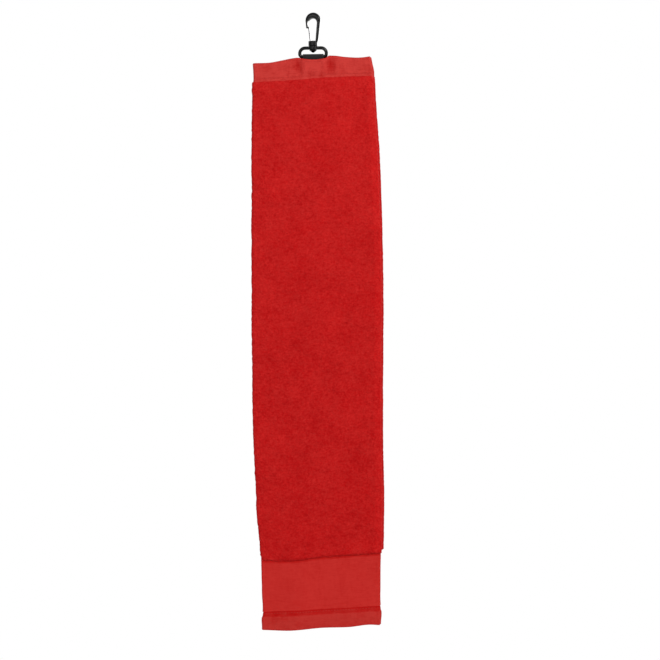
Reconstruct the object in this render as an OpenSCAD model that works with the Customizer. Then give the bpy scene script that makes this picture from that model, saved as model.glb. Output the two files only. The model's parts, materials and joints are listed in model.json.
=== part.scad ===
// Tri-fold golf towel on a plastic swivel snap hook.
// Frame: Z up, X to the right, the front faces -Y. The origin is the bight of
// the hook, the lowest point of its inner crown, where it hangs on a bag's ring.
// The cloth is folded in a Z: the front leaf turns back at the left fold, the
// centre leaf turns again at the right fold, and the back leaf ends at its free
// edge on the left. The tape box stitch holds all three headings together, so
// each outer leaf opens about a crease that slopes from its free edge under the
// heading down to the foot of its fold.

/* [Cloth] */
// Length of the hemmed towel, from top edge to bottom edge
towel_l = 600; // [450:1:700]
// Width of the folded towel across its pile
pile_w = 135; // [110:1:160]
// Width of the folded towel across its heading
heading_w = 125.5; // [100:0.5:150]
// Width of the folded towel across its border and bottom hem
border_w = 125; // [100:0.5:150]
// Height of the top hem, called the heading
heading_h = 21; // [18:1:30]
// Height of the flat woven border
border_h = 55; // [30:1:80]
// Height of the bottom hem
bottom_hem_h = 21; // [12:1:30]
// Width of the side hem on a free edge
side_hem_w = 9; // [6:0.5:14]
// How far a free edge stops short of the fold beside it
free_edge_inset = 2.5; // [1:0.5:6]

/* [Cloth thickness] */
// Thickness of the pile cloth
pile_t = 3.4; // [2:0.1:3.5]
// Thickness of the heading and the bottom hem, three plies of flat weave
hem_t = 2.4; // [1.8:0.1:2.6]
// Thickness of the single ply of the border
border_t = 1.0; // [0.6:0.1:1.6]
// Thickness of the rolled side hem
side_hem_t = 4.2; // [3.6:0.1:4.4]
// Distance between the middles of two neighbouring leaves
leaf_pitch = 3.8; // [3.7:0.1:4]

/* [Leaf opening] */
// How far below the heading the crease starts on the free edge
crease_drop = 7; // [5:1:30]
// How far from the fold the crease ends at the bottom edge
crease_foot = 6; // [4:1:20]
// Gap between the sewn and the free part of a leaf along the crease
crease_gap = 0.3; // [0.2:0.1:0.6]

/* [Hanging tape] */
// Width of the tape
tape_w = 22; // [16:0.5:22]
// Thickness of the tape
tape_t = 0.9; // [0.7:0.1:0.9]
// Height of the tape legs that are sewn into the heading
tape_sewn_h = 15.5; // [12:0.5:16]

/* [Swivel ring] */
// Outer width of the ring
ring_w = 31.5; // [30:0.5:36]
// Radius of the ring's round section
ring_r = 1.8; // [1.6:0.1:1.8]
// Height from the middle of the tape bar to the middle of the top bar
ring_rise = 9.1; // [9:0.1:12]
// Bend radius of the lower corners
ring_low_r = 2.8; // [2:0.1:2.8]
// Bend radius of the upper corners
ring_high_r = 5.6; // [5:0.1:6]
// Outer radius of the swivel boss
boss_r = 4.4; // [4:0.1:4.6]

/* [Snap hook] */
// How far the hook is turned on its swivel, in degrees
hook_turn = 15; // [0:1:25]
// Radius of the inner crown
eye_r = 5.15; // [4.5:0.05:5.5]
// Radius of the outer crown
crown_r = 8.1; // [8:0.05:8.6]
// Depth of the eye from the bight to its floor
eye_depth = 24; // [22:0.5:26]
// Thickness of the hook's flanges across the plate
flange_t = 5; // [4.6:0.1:5.6]
// Thickness of the web between the flanges
web_t = 2.6; // [2:0.1:3]
// Width of a flange in the plane of the plate
flange_w = 1.6; // [1.4:0.05:1.7]
// Radius that rounds the hook's outer rim towards both faces
rim_round = 1.4; // [0.8:0.1:1.4]
// Radius of the collar
collar_r = 4.75; // [4.5:0.05:5]
// Height of the collar
collar_h = 5; // [4:0.05:5.5]
// Radius of the swivel post
post_r = 2.6; // [2.2:0.05:2.8]
// Radius of the snap head under the boss
head_r = 3.9; // [3.6:0.1:4.2]

/* [Spring gate] */
// Thickness of the gate leaf
gate_t = 0.9; // [0.7:0.05:1]
// Width of the gate leaf
gate_w = 4.4; // [4:0.1:4.6]
// Lean of the closed gate from the vertical, in degrees
gate_lean = 6; // [5:0.5:7]

/* [Stitching] */
// Distance from the start of one stitch to the next
stitch_pitch = 3.6; // [3:0.1:5]
// Length of thread that shows in one stitch
stitch_l = 2.8; // [2:0.1:2.9]
// Width of the thread
thread_w = 0.5; // [0.3:0.05:0.8]

/* [Hidden] */
$fn = 64;

pile_red = [0.72, 0.1, 0.1];
flat_red = [0.76, 0.2, 0.17];
thread_red = [0.6, 0.08, 0.08];
moulding_black = [0.08, 0.08, 0.09];
tape_black = [0.12, 0.12, 0.13];

// How far pieces of one moulding run into each other
lap = 0.3;

// Swivel stack, from the collar down to the tape bar
swivel_gap = 0.3;
bore_gap = 0.06;
boss_h = 2 * ring_r - 0.05;
collar_bottom = -eye_depth - collar_h;
boss_top = collar_bottom - swivel_gap;
top_bar_z = boss_top - boss_h / 2;
bar_z = top_bar_z - ring_rise;
head_top = boss_top - boss_h - swivel_gap;
head_h = 2.8;
head_rim_h = 0.4;
head_tip_r = 0.9;
slit_w = 1;
slit_past = 0.6;

// Hook plate, in X and Z
crown_x = 0.6;
crown_z = -2.1;
eye_left = -3;
eye_right = 3.4;
spine_foot = 4.6;
spine_flare = 1.6;
plate_lap = 2;
nose_z = -10.1;
nose_taper = 0.7;
mouth_past = 2;
mouth_in = 1;
tooth_x = -4.5;
tooth_h = 2.1;
tooth_bevel = [0.6, 0.8];
tooth_slope = 1.4;
hook_left = crown_x - crown_r;
tooth_root = hook_left + 1.5;
rim_steps = 6;

// Gate
gate_foot_x = -2.3;
gate_foot_z = -eye_depth - 0.95;
gate_tip_z = -8.8;
bead_r = 0.95;
gate_clear = 0.15;
pocket_foot = 0.62;
pocket_out = 0.8;
pocket_in = 1.25;
pocket_h = 1.6;

// Tape
tape_gap = 0.1;
tape_in = ring_r + tape_gap;
tape_out = tape_in + tape_t;
tape_leg_gap = 0.05;
tape_leg_y = hem_t / 2 + tape_leg_gap;
tape_neck_z = bar_z - 4.6;
tape_steps = 48;

// Heights of the cloth zones
top_drop = 2.3;
top_z = bar_z - top_drop;
heading_z = top_z - heading_h;
bottom_z = top_z - towel_l;
bottom_hem_z = bottom_z + bottom_hem_h;
border_z = bottom_hem_z + border_h;

// Crease of an outer leaf, in X and Z
crease_top = [pile_w / 2 - free_edge_inset, heading_z - crease_drop];
crease_low = [-border_w / 2 + crease_foot, bottom_z];
far = 200;
side_hem_proud = 0.3;

// Seams, measured from the edges that they run along
thread_t = 0.3;
seam_inset = 2.5;
box_side_inset = 2;
box_top_inset = 3;
box_foot_inset = 1.5;
box_corner = 1.2;
foot_seam_start = 6;
side_seam_inset = 1;
side_seam_drop = 8;

function fold_r(t) = (leaf_pitch + t) / 2;
function fold_x(w, t) = w / 2 - fold_r(t);
function crease_x(z) =
    crease_top[0] + (crease_low[0] - crease_top[0]) * (crease_top[1] - z) / (crease_top[1] - crease_low[1]);

// Shapes drawn in X and Z, given a thickness across Y
module plate(thick) {
    rotate([90, 0, 0])
        linear_extrude(height = thick, center = true)
            children();
}

// ---------- snap hook ----------

// Everything inside the hook's outer edge, drawn inset by e
module hook_outer(e = 0) {
    translate([crown_x, crown_z]) circle(r = crown_r - e, $fn = 96);
    polygon([
        [hook_left + e, crown_z], [crown_x + crown_r - e, crown_z],
        [spine_foot + spine_flare - e, -eye_depth + plate_lap],
        [spine_foot - e, collar_bottom + plate_lap],
        [-spine_foot + e, collar_bottom + plate_lap], [-spine_foot + e, -eye_depth],
        [hook_left + nose_taper + e, nose_z]
    ]);
}

// The eye, drawn larger by e
module hook_eye(e = 0) {
    translate([0, -eye_r]) circle(r = eye_r + e, $fn = 96);
    polygon([
        [-eye_r - e, -eye_r], [eye_r + e, -eye_r],
        [eye_right + e, -eye_depth - e], [eye_left - e, -eye_depth - e]
    ]);
}

// The mouth between the nose and the collar, which the gate closes
module hook_mouth() {
    polygon([
        [hook_left - mouth_past, nose_z], [eye_left + mouth_in, nose_z],
        [eye_left + mouth_in, -eye_depth], [hook_left - mouth_past, -eye_depth]
    ]);
}

module latch_tooth() {
    polygon([
        [tooth_root, nose_z + tooth_h + tooth_slope],
        [tooth_x - tooth_bevel[0], nose_z + tooth_h],
        [tooth_x, nose_z + tooth_h - tooth_bevel[1]], [tooth_x, nose_z], [tooth_root, nose_z]
    ]);
}

// The gate's bead sits in this pocket, and its leaf swings in the slot above
module gate_pocket() {
    translate([gate_foot_x, 0, gate_foot_z]) {
        rotate([90, 0, 0])
            cylinder(r = bead_r + bore_gap, h = gate_w + 2 * gate_clear, center = true);
        plate(gate_w + 2 * gate_clear)
            polygon([
                [-pocket_foot, 0], [-pocket_out, pocket_h],
                [pocket_in, pocket_h], [pocket_foot, 0]
            ]);
    }
}

// The hook's full thickness, with its outer rim rounded towards both faces in steps
module hook_blank() {
    for (i = [0 : rim_steps]) {
        a = 90 * i / rim_steps;
        plate(flange_t - 2 * rim_round * (1 - sin(a)))
            hook_outer(rim_round * (1 - cos(a)));
    }
}

// What is taken out of both faces to leave the web between the flanges
module web_recess() {
    for (side = [-1, 1])
        translate([0, side * (web_t + flange_t) / 2, 0])
            plate(flange_t)
                difference() {
                    hook_outer(flange_w);
                    hook_eye(flange_w);
                }
}

module hook_plate() {
    difference() {
        hook_blank();
        web_recess();
        plate(2 * flange_t) {
            hook_eye();
            hook_mouth();
        }
    }
    plate(flange_t) latch_tooth();
}

module swivel_post() {
    translate([0, 0, head_top - lap])
        cylinder(r = post_r, h = collar_bottom - head_top + 2 * lap);
    translate([0, 0, head_top - head_rim_h])
        cylinder(r = head_r, h = head_rim_h);
    translate([0, 0, head_top - head_h])
        cylinder(r1 = head_tip_r, r2 = head_r, h = head_h - head_rim_h);
}

module hook_body() {
    color(moulding_black)
        rotate([0, 0, -hook_turn])
            difference() {
                union() {
                    hook_plate();
                    translate([0, 0, collar_bottom]) cylinder(r = collar_r, h = collar_h);
                    swivel_post();
                }
                gate_pocket();
                translate([0, 0, head_top - head_h])
                    cube([3 * head_r, slit_w, 2 * (head_h + slit_past)], center = true);
            }
}

module spring_gate() {
    leaf_h = (gate_tip_z - gate_foot_z) / cos(gate_lean);
    color(moulding_black)
        rotate([0, 0, -hook_turn])
            translate([gate_foot_x, 0, gate_foot_z]) {
                rotate([90, 0, 0]) cylinder(r = bead_r, h = gate_w, center = true);
                rotate([0, -gate_lean, 0])
                    translate([-gate_t / 2, -gate_w / 2, 0])
                        cube([gate_t, gate_w, leaf_h]);
            }
}

// ---------- swivel ring ----------

// A quarter turn of the ring's rod about [x, z], starting at that angle
module ring_corner(x, z, bend, start) {
    translate([x, 0, z])
        rotate([90, 0, 0])
            rotate([0, 0, start])
                rotate_extrude(angle = 90)
                    translate([bend, 0]) circle(r = ring_r);
}

module ring_rod(from, to) {
    length = norm(to - from);
    along = (to - from) / length;
    translate([from[0], 0, from[1]])
        rotate([0, atan2(along[0], along[1]), 0])
            cylinder(r = ring_r, h = length);
}

module swivel_ring() {
    side_x = ring_w / 2 - ring_r;
    low_x = side_x - ring_low_r;
    high_x = side_x - ring_high_r;
    low_z = bar_z + ring_low_r;
    high_z = top_bar_z - ring_high_r;
    color(moulding_black)
        difference() {
            union() {
                ring_rod([-low_x, bar_z], [low_x, bar_z]);
                ring_rod([-high_x, top_bar_z], [high_x, top_bar_z]);
                for (side = [-1, 1])
                    ring_rod([side * side_x, low_z], [side * side_x, high_z]);
                ring_corner(low_x, low_z, ring_low_r, 270);
                ring_corner(-low_x, low_z, ring_low_r, 180);
                ring_corner(high_x, high_z, ring_high_r, 0);
                ring_corner(-high_x, high_z, ring_high_r, 90);
                translate([0, 0, boss_top - boss_h]) cylinder(r = boss_r, h = boss_h);
            }
            translate([0, 0, boss_top - boss_h - 1])
                cylinder(r = post_r + bore_gap, h = boss_h + 2);
        }
}

// ---------- hanging tape ----------

// One face of the tape in Y and Z: up a leg, round the bar and down the other leg
function tape_face(leg_y, r) = concat(
    [[leg_y, top_z - tape_sewn_h - bar_z], [leg_y, tape_neck_z - bar_z]],
    [for (i = [0 : tape_steps]) r * [cos(180 * i / tape_steps), sin(180 * i / tape_steps)]],
    [[-leg_y, tape_neck_z - bar_z], [-leg_y, top_z - tape_sewn_h - bar_z]]
);

function backwards(points) = [for (i = [len(points) - 1 : -1 : 0]) points[i]];

// The tape is one strip, so its section is one outline
module tape_section() {
    polygon(concat(
        tape_face(tape_leg_y + tape_t, tape_out),
        backwards(tape_face(tape_leg_y, tape_in))
    ));
}

module hanging_tape() {
    color(tape_black)
        translate([0, 0, bar_z])
            rotate([90, 0, 90])
                linear_extrude(height = tape_w, center = true) tape_section();
}

// ---------- cloth ----------

// The centre leaf with half of the left fold's turn in front of it and the right fold's behind it
module centre_zone(w, t, z_low, z_high, shade) {
    x = fold_x(w, t);
    color(shade)
        translate([0, 0, z_low])
            linear_extrude(height = z_high - z_low) {
                square([2 * x, t], center = true);
                for (turn = [0, 180])
                    rotate(turn)
                        translate([-x, -leaf_pitch / 2])
                            difference() {
                                circle(r = fold_r(t));
                                circle(r = (leaf_pitch - t) / 2);
                                translate([0, -far / 2]) square(far);
                            }
            }
}

module centre_flat(t, z_low, z_high) {
    centre_zone(border_w, t, z_low, z_high, flat_red);
}

// The back leaf is the front leaf turned half a turn about Z
module leaf(back) {
    rotate([0, 0, back ? 180 : 0]) children();
}

// One zone of the front leaf, from x_low to x_high
module leaf_zone(x_low, x_high, t, z_low, z_high, y = -leaf_pitch) {
    translate([x_low, y - t / 2, z_low])
        cube([x_high - x_low, t, z_high - z_low]);
}

// All that lies on the free side of the crease, or on its sewn side
module crease_side(free) {
    side = free ? 1 : -1;
    shift = side * crease_gap / 2;
    above = crease_x(far);
    below = crease_x(-2 * far - towel_l);
    plate(far)
        polygon([
            [above + shift, far], [above + side * 3 * far, far],
            [below + side * 3 * far, -2 * far - towel_l], [below + shift, -2 * far - towel_l]
        ]);
}

module front_pile(free) {
    x_free = pile_w / 2 - free_edge_inset;
    intersection() {
        leaf_zone(-fold_x(pile_w, pile_t), free ? x_free - side_hem_w : x_free, pile_t, border_z, heading_z);
        crease_side(free);
    }
}

module front_side_hem_piece() {
    x_free = pile_w / 2 - free_edge_inset;
    intersection() {
        leaf_zone(x_free - side_hem_w, x_free, side_hem_t, border_z, heading_z, -leaf_pitch - side_hem_proud);
        crease_side(true);
    }
}

module front_flat(free, t, z_low, z_high) {
    intersection() {
        leaf_zone(-fold_x(border_w, t), border_w / 2 - free_edge_inset, t, z_low, z_high);
        crease_side(free);
    }
}

module heading_piece(back) {
    color(flat_red)
        leaf(back)
            leaf_zone(-fold_x(heading_w, hem_t), heading_w / 2 - free_edge_inset, hem_t, heading_z, top_z);
}

module pile_piece(back, free) {
    color(pile_red) leaf(back) front_pile(free);
}

module side_hem_piece(back) {
    color(pile_red) leaf(back) front_side_hem_piece();
}

module border_piece(back, free) {
    color(flat_red) leaf(back) front_flat(free, border_t, bottom_hem_z, border_z);
}

module bottom_hem_piece(back, free) {
    color(flat_red) leaf(back) front_flat(free, hem_t, bottom_z, bottom_hem_z);
}

// ---------- stitching ----------

// A row of stitches on the plane y, from one point in X and Z to another
module stitch_row(from, to, y) {
    length = norm(to - from);
    count = floor(length / stitch_pitch);
    start = (length - (count - 1) * stitch_pitch - stitch_l) / 2;
    translate([from[0], y, from[1]])
        rotate([0, atan2(to[0] - from[0], to[1] - from[1]), 0])
            for (i = [0 : count - 1])
                translate([-thread_w / 2, 0, start + i * stitch_pitch])
                    cube([thread_w, thread_t, stitch_l]);
}

// One face of the square that sews the tape and the three headings together
module box_stitch_face() {
    half_w = tape_w / 2 - box_side_inset;
    high = top_z - box_top_inset;
    low = top_z - tape_sewn_h + box_foot_inset;
    y = -leaf_pitch - hem_t / 2 - thread_t;
    for (side = [-1, 1])
        stitch_row([side * half_w, low + box_corner], [side * half_w, high - box_corner], y);
    stitch_row([-half_w, low], [half_w, low], y);
    stitch_row([-half_w, high], [half_w, high], y);
}

module tape_box_stitch() {
    color(thread_red) for (back = [false, true]) leaf(back) box_stitch_face();
}

module heading_stitch(back, y) {
    half_w = fold_x(heading_w, hem_t);
    z = heading_z + seam_inset;
    color(thread_red)
        leaf(back) stitch_row([-half_w, z], [half_w, z], y - hem_t / 2 - thread_t);
}

module bottom_stitch(back, x_low, y) {
    z = bottom_hem_z - seam_inset;
    x_high = border_w / 2 - free_edge_inset - side_seam_inset;
    color(thread_red)
        leaf(back) stitch_row([x_low, z], [x_high, z], y - hem_t / 2 - thread_t);
}

module leaf_foot_stitch(back) {
    bottom_stitch(back, crease_low[0] + foot_seam_start, -leaf_pitch);
}

module side_stitch(back) {
    x = pile_w / 2 - free_edge_inset - side_hem_w + side_seam_inset;
    slope = (crease_top[1] - crease_low[1]) / (crease_top[0] - crease_low[0]);
    high = crease_top[1] - side_seam_drop - side_hem_w * slope;
    y = -leaf_pitch - side_hem_proud - side_hem_t / 2 - thread_t;
    color(thread_red)
        leaf(back) stitch_row([x, border_z + side_seam_inset], [x, high], y);
}

hook_body();
spring_gate();
swivel_ring();
hanging_tape();
tape_box_stitch();

centre_zone(heading_w, hem_t, heading_z, top_z, flat_red);  // centre_heading
centre_zone(pile_w, pile_t, border_z, heading_z, pile_red);  // centre_pile
centre_flat(border_t, bottom_hem_z, border_z);  // centre_border
centre_flat(hem_t, bottom_z, bottom_hem_z);  // centre_bottom_hem

heading_piece(false);  // front_heading
pile_piece(false, false);  // front_pile_sewn
border_piece(false, false);  // front_border_sewn
bottom_hem_piece(false, false);  // front_bottom_hem_sewn
pile_piece(false, true);  // front_pile_free
side_hem_piece(false);  // front_side_hem
border_piece(false, true);  // front_border_free
bottom_hem_piece(false, true);  // front_bottom_hem_free

heading_piece(true);  // back_heading
pile_piece(true, false);  // back_pile_sewn
border_piece(true, false);  // back_border_sewn
bottom_hem_piece(true, false);  // back_bottom_hem_sewn
pile_piece(true, true);  // back_pile_free
side_hem_piece(true);  // back_side_hem
border_piece(true, true);  // back_border_free
bottom_hem_piece(true, true);  // back_bottom_hem_free

heading_stitch(false, 0);  // centre_heading_stitch
heading_stitch(false, -leaf_pitch);  // front_heading_stitch
heading_stitch(true, -leaf_pitch);  // back_heading_stitch
bottom_stitch(false, -fold_x(border_w, hem_t), 0);  // centre_bottom_stitch
leaf_foot_stitch(false);  // front_bottom_stitch
leaf_foot_stitch(true);  // back_bottom_stitch
side_stitch(false);  // front_side_stitch
side_stitch(true);  // back_side_stitch
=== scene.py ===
"""The looks of a tri-fold golf towel on a swivel snap hook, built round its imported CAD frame.

Sizes in this file are millimetres; mesh() turns them into Blender's metres. The cloth is one sheet
folded in a Z: the front leaf turns at the left fold into the centre leaf, which turns at the right
fold into the back leaf. A place on the cloth is given by u, across it from the left fold, and v,
down from its top edge. Each leaf is a closed slab whose two faces carry real pile, loops or ribs.
"""
import json
import math

import bmesh
import bpy
import numpy as np
from mathutils import Matrix, Vector


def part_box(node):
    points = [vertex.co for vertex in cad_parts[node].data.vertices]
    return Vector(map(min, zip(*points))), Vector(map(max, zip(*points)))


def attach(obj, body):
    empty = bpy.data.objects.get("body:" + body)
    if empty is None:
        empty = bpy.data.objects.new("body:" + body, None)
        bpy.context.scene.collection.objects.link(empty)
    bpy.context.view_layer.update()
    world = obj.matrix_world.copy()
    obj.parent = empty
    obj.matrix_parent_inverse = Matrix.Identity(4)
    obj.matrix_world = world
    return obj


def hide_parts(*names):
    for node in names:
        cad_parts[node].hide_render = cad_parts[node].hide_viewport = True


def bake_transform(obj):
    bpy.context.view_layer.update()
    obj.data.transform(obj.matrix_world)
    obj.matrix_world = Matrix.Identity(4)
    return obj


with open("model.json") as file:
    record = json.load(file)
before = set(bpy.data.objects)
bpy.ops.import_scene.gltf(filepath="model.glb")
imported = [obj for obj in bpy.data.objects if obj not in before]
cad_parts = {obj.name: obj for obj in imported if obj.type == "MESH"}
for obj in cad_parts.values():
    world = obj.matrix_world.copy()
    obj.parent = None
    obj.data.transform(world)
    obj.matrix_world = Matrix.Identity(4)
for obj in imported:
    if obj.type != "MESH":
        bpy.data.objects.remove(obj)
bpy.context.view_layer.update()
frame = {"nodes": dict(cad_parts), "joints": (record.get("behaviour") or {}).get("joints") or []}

MM = 0.001

# ---------- sizes taken from the frame ----------


def box(node):
    """Lowest and highest corner of a CAD node, in millimetres."""
    low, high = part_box(node)
    return np.array(low) / MM, np.array(high) / MM


def joint(name):
    """A joint's position in millimetres and its axis."""
    found = next(j for j in frame["joints"] if j["name"] == name)
    return np.array(found["pos_m"]) / MM, np.array(found["axis"], float)


# Names that start with V_ are distances down from the towel's top edge
TOP = box("centre_heading")[1][2]
BOTTOM = box("centre_bottom_hem")[0][2]
V_PILE = TOP - box("centre_pile")[1][2]
V_BORDER = TOP - box("centre_border")[1][2]
V_HEM = TOP - box("centre_bottom_hem")[1][2]
V_END = TOP - BOTTOM
PILE_HALF = box("centre_pile")[1][0]
PILE_T = np.ptp([c[1] for c in box("front_pile_sewn")])
HEM_T = np.ptp([c[1] for c in box("front_heading")])
BORDER_T = np.ptp([c[1] for c in box("front_border_sewn")])
LEAF_PITCH = -sum(c[1] for c in box("front_heading")) / 2
SIDE_HEM = np.ptp([c[0] for c in box("front_side_hem")])
TAPE_HALF = box("hanging_tape")[1][0]
TAPE_SEWN = TOP - box("hanging_tape")[0][2]
BAR_Z = joint("towel_swing")[0][2]
RING_R = BAR_Z - box("swivel_ring")[0][2]
BOX_LOW, BOX_HIGH = box("tape_box_stitch")
RING_HALF = box("swivel_ring")[1][0]
TAPE_T = 0.9  # the tape's thickness
TOWEL_W = 400  # the hemmed towel laid flat
LEAF_W = TOWEL_W / 3

# ---------- curves and noise ----------


def smooth(x):
    """0 below 0, 1 above 1, and an S between."""
    x = np.clip(x, 0, 1)
    return x * x * (3 - 2 * x)


def hump(x, at, width):
    """A hill of height 1 at a place, gone about two widths to either side."""
    return np.exp(-(((x - at) / width) ** 2))


def through(points, at):
    """A smooth curve through a few (place, value) points."""
    xs, ys = np.array(points, float).T
    slope = np.gradient(ys, xs)
    at = np.clip(at, xs[0], xs[-1])
    i = np.clip(np.searchsorted(xs, at) - 1, 0, len(xs) - 2)
    h = xs[i + 1] - xs[i]
    t = (at - xs[i]) / h
    return (
        ys[i] * (1 + 2 * t) * (1 - t) ** 2
        + slope[i] * h * t * (1 - t) ** 2
        + ys[i + 1] * t * t * (3 - 2 * t)
        + slope[i + 1] * h * t * t * (t - 1)
    )


def noise(x, y, cell, seed):
    """Soft bumps from -1 to 1, each about one cell across."""
    table = np.random.default_rng(seed).uniform(-1, 1, (256, 256))
    gx, gy = np.broadcast_arrays(x / cell, y / cell)
    ix, iy = np.floor(gx).astype(int), np.floor(gy).astype(int)
    fx, fy = smooth(gx - ix), smooth(gy - iy)
    a, b = table[ix % 256, iy % 256], table[(ix + 1) % 256, iy % 256]
    c, d = table[ix % 256, (iy + 1) % 256], table[(ix + 1) % 256, (iy + 1) % 256]
    return (a * (1 - fx) + b * fx) * (1 - fy) + (c * (1 - fx) + d * fx) * fy


def tufts(x, y, cell, seed):
    """Round domes from 0 to 1, one to a cell in offset rows, each a little out of line."""
    push = np.random.default_rng(seed).uniform(-0.22, 0.22, (2, 256, 256))
    x, y = np.broadcast_arrays(x / cell, y / cell)
    ix, iy = np.floor(x).astype(int), np.floor(y).astype(int)
    best = np.zeros(x.shape)
    for di in (-1, 0, 1):
        for dj in (-1, 0, 1):
            i, j = ix + di, iy + dj
            cx = i + 0.5 + 0.5 * (j % 2) - 0.25 + push[0, i % 256, j % 256]
            cy = j + 0.5 + push[1, i % 256, j % 256]
            near = 1 - ((x - cx) ** 2 + (y - cy) ** 2) / 0.5
            best = np.maximum(best, np.sqrt(np.clip(near, 0, 1)))
    return best


# ---------- the folded cloth ----------

TURN_SPREAD = 12  # height over which the leaves draw together above and below the pile
TURN_OUT = 3  # how far outside the pile that begins
EDGE_SHORT = 0.4  # how far a free edge stops short of the fold beside it
RING_ROOM = 0.3  # how far the leaves behind the front one may stand up beside the ring
RING_CLEAR = 0.75  # how far that limit reaches past the ring's side
FLAT_CLOSER = 0.95  # how much nearer the leaves lie where they are flat woven
TAPE_SPREAD = 0.75  # how much the tape between two headings moves them apart
EDGE_LIFT = 1.1  # how far the turned side hem holds a free edge off the leaf beside it
EDGE_REACH = 26  # how far in from the edge that lift begins
# How much higher the pile ends at the left fold, the right fold and the back's free edge than on the front
RISE_LEFT, RISE_RIGHT, RISE_BACK = 4.4, 2.8, 4.0

# The top edge hangs from the tape: level there, up beside the ring and down to the corners
TOP_LEFT = [(-63, -4), (-45, -3.6), (-31, -1.2), (-21, 0.6), (-16, 1.0), (-14, 0.8), (-12.6, 0.3), (-11, 0)]
TOP_RIGHT = [(11, 0), (13, 0.5), (14.4, 1.4), (16, 2.5), (20, 2.7), (34, 1.1), (50, 0.2), (62, 1.5)]

# How far some rows of the weave stand above level, as (x, lift) points, from the top edge down
ROWS = [
    (0, TOP_LEFT + TOP_RIGHT),
    (V_PILE, [(-63, -2.4), (-14, -0.5), (17, 1.5), (63, 2)]),
    (V_BORDER, [(-62, -2.1), (-37, -3.3), (0, 0), (62, 3.7)]),
    (V_HEM, [(-62, -0.6), (0, 1.6), (62, 4.4)]),
    (V_END, [(-63, 1.1), (-36, 0.1), (-2, 2.4), (30, 3.2), (51, 5.2), (62, 4.4)]),
]

# Where the folds lie, as (v, how far out from the middle to the cloth's outer face) points
LEFT_PILE = [
    (21, 64.5), (92, 66.1), (250, 68.4), (355, 69.1),
    (410, 68.3), (460, 67.1), (505, 64.3), (524, 63),
]
RIGHT_PILE = [
    (21, 64.4), (55, 65.9), (92, 68), (160, 69.7), (250, 70.3),
    (357, 68.2), (410, 67.6), (462, 67.9), (524, 66.2),
]
LEFT_FLAT = [
    (0, 63.6), (8, 63.1), (24, 63.2), (510, 62.5),
    (560, 62.2), (579, 61.9), (586, 62.6), (600, 62.8),
]
RIGHT_FLAT = [
    (0, 61.1), (8, 62.5), (15, 63.9), (24, 64.1), (510, 63.6),
    (560, 62.5), (575, 62.2), (585, 62.9), (600, 62.3),
]


def row_lift(x, v):
    """How far a place on the cloth stands above its level height."""
    curves = [(at, through(points, x)) for at, points in ROWS]
    lift = curves[0][1]
    for (low, before), (high, after) in zip(curves, curves[1:]):
        lift = lift + (after - before) * smooth((v - low) / (high - low))
    return lift


FLUTE_H = 1.1  # how deep the flutes are at the towel's foot
FLUTE_W = 9.5  # width of a flute, divided by pi


def sway(x, v):
    """The soft standing waves that all three leaves share, out of the towel's plane."""
    slow = 1.0 * noise(x, v, 95, 11) + 0.5 * noise(x, v, 42, 12)
    flutes = FLUTE_H * np.sin((x + 10) / FLUTE_W) * smooth((v - V_BORDER + 30) / 100)
    return (slow + flutes) * smooth(v / 60)


def leaf_pitch(x, v):
    """Distance between the middles of neighbouring leaves."""
    under_heading = smooth((v - V_PILE + TURN_OUT) / TURN_SPREAD)
    over_border = smooth((V_BORDER + TURN_OUT - v) / TURN_SPREAD)
    flat = 1 - under_heading * over_border
    over_tape = smooth((TAPE_HALF + 3 - np.abs(x)) / 3) * smooth((TAPE_SEWN + 2 - v) / 3)
    return LEAF_PITCH - FLAT_CLOSER * flat + TAPE_SPREAD * over_tape


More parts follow.
